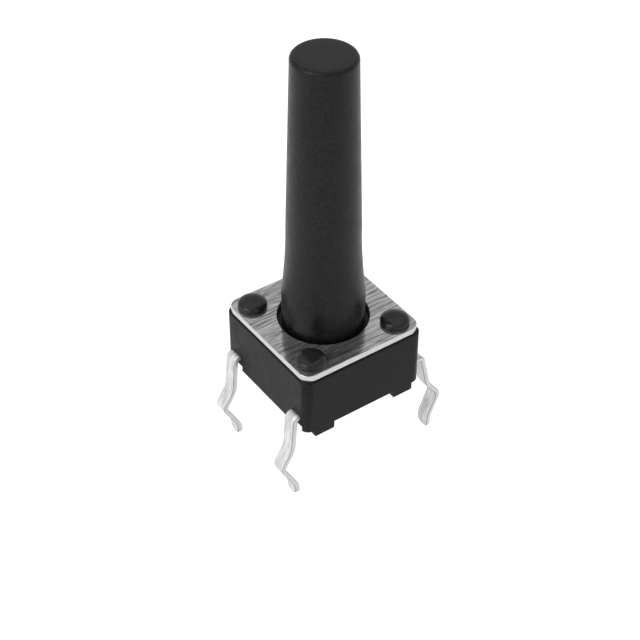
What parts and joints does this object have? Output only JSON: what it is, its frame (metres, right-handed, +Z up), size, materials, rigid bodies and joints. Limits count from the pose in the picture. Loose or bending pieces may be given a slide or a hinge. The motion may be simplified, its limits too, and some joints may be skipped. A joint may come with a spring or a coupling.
{
  "type": "tactile push button switch",
  "caption": "Through-hole tactile push button switch with a long tapered stem, square housing, sheet metal cover and kinked legs.",
  "frame": {"origin": "centre of the four legs in the plane that the circuit board's top face takes, level with the bottoms of the four feet", "axes": "+Z up along the stem, X across the two rows of legs, Y along a row of legs"},
  "size_m": [0.0084, 0.006, 0.0195],
  "materials": {
    "housing_plastic": "satin moulded thermoplastic",
    "cover_sheet": "brushed along X, bright cut edges",
    "stem_plastic": "fine matt moulded thermoplastic",
    "dome_spring": "bright spring sheet",
    "contact_sheet": "bright plated contact sheet with fine lengthwise streaks"
  },
  "bodies": {
    "housing": {"base": "housing_plastic", "cover": "cover_sheet", "snap_dome": "dome_spring", "centre_contact_frame": "contact_sheet", "ring_contact_frame": "contact_sheet"},
    "button": {"stem": "stem_plastic"}
  },
  "joints": [
    {"name": "stem_press", "type": "slide", "parent": "housing", "child": "button", "axis": [0, 0, -1], "range_m": [0, 0.00025], "stiffness_N_per_m": 8000, "deforming": ["snap_dome"]}
  ]
}
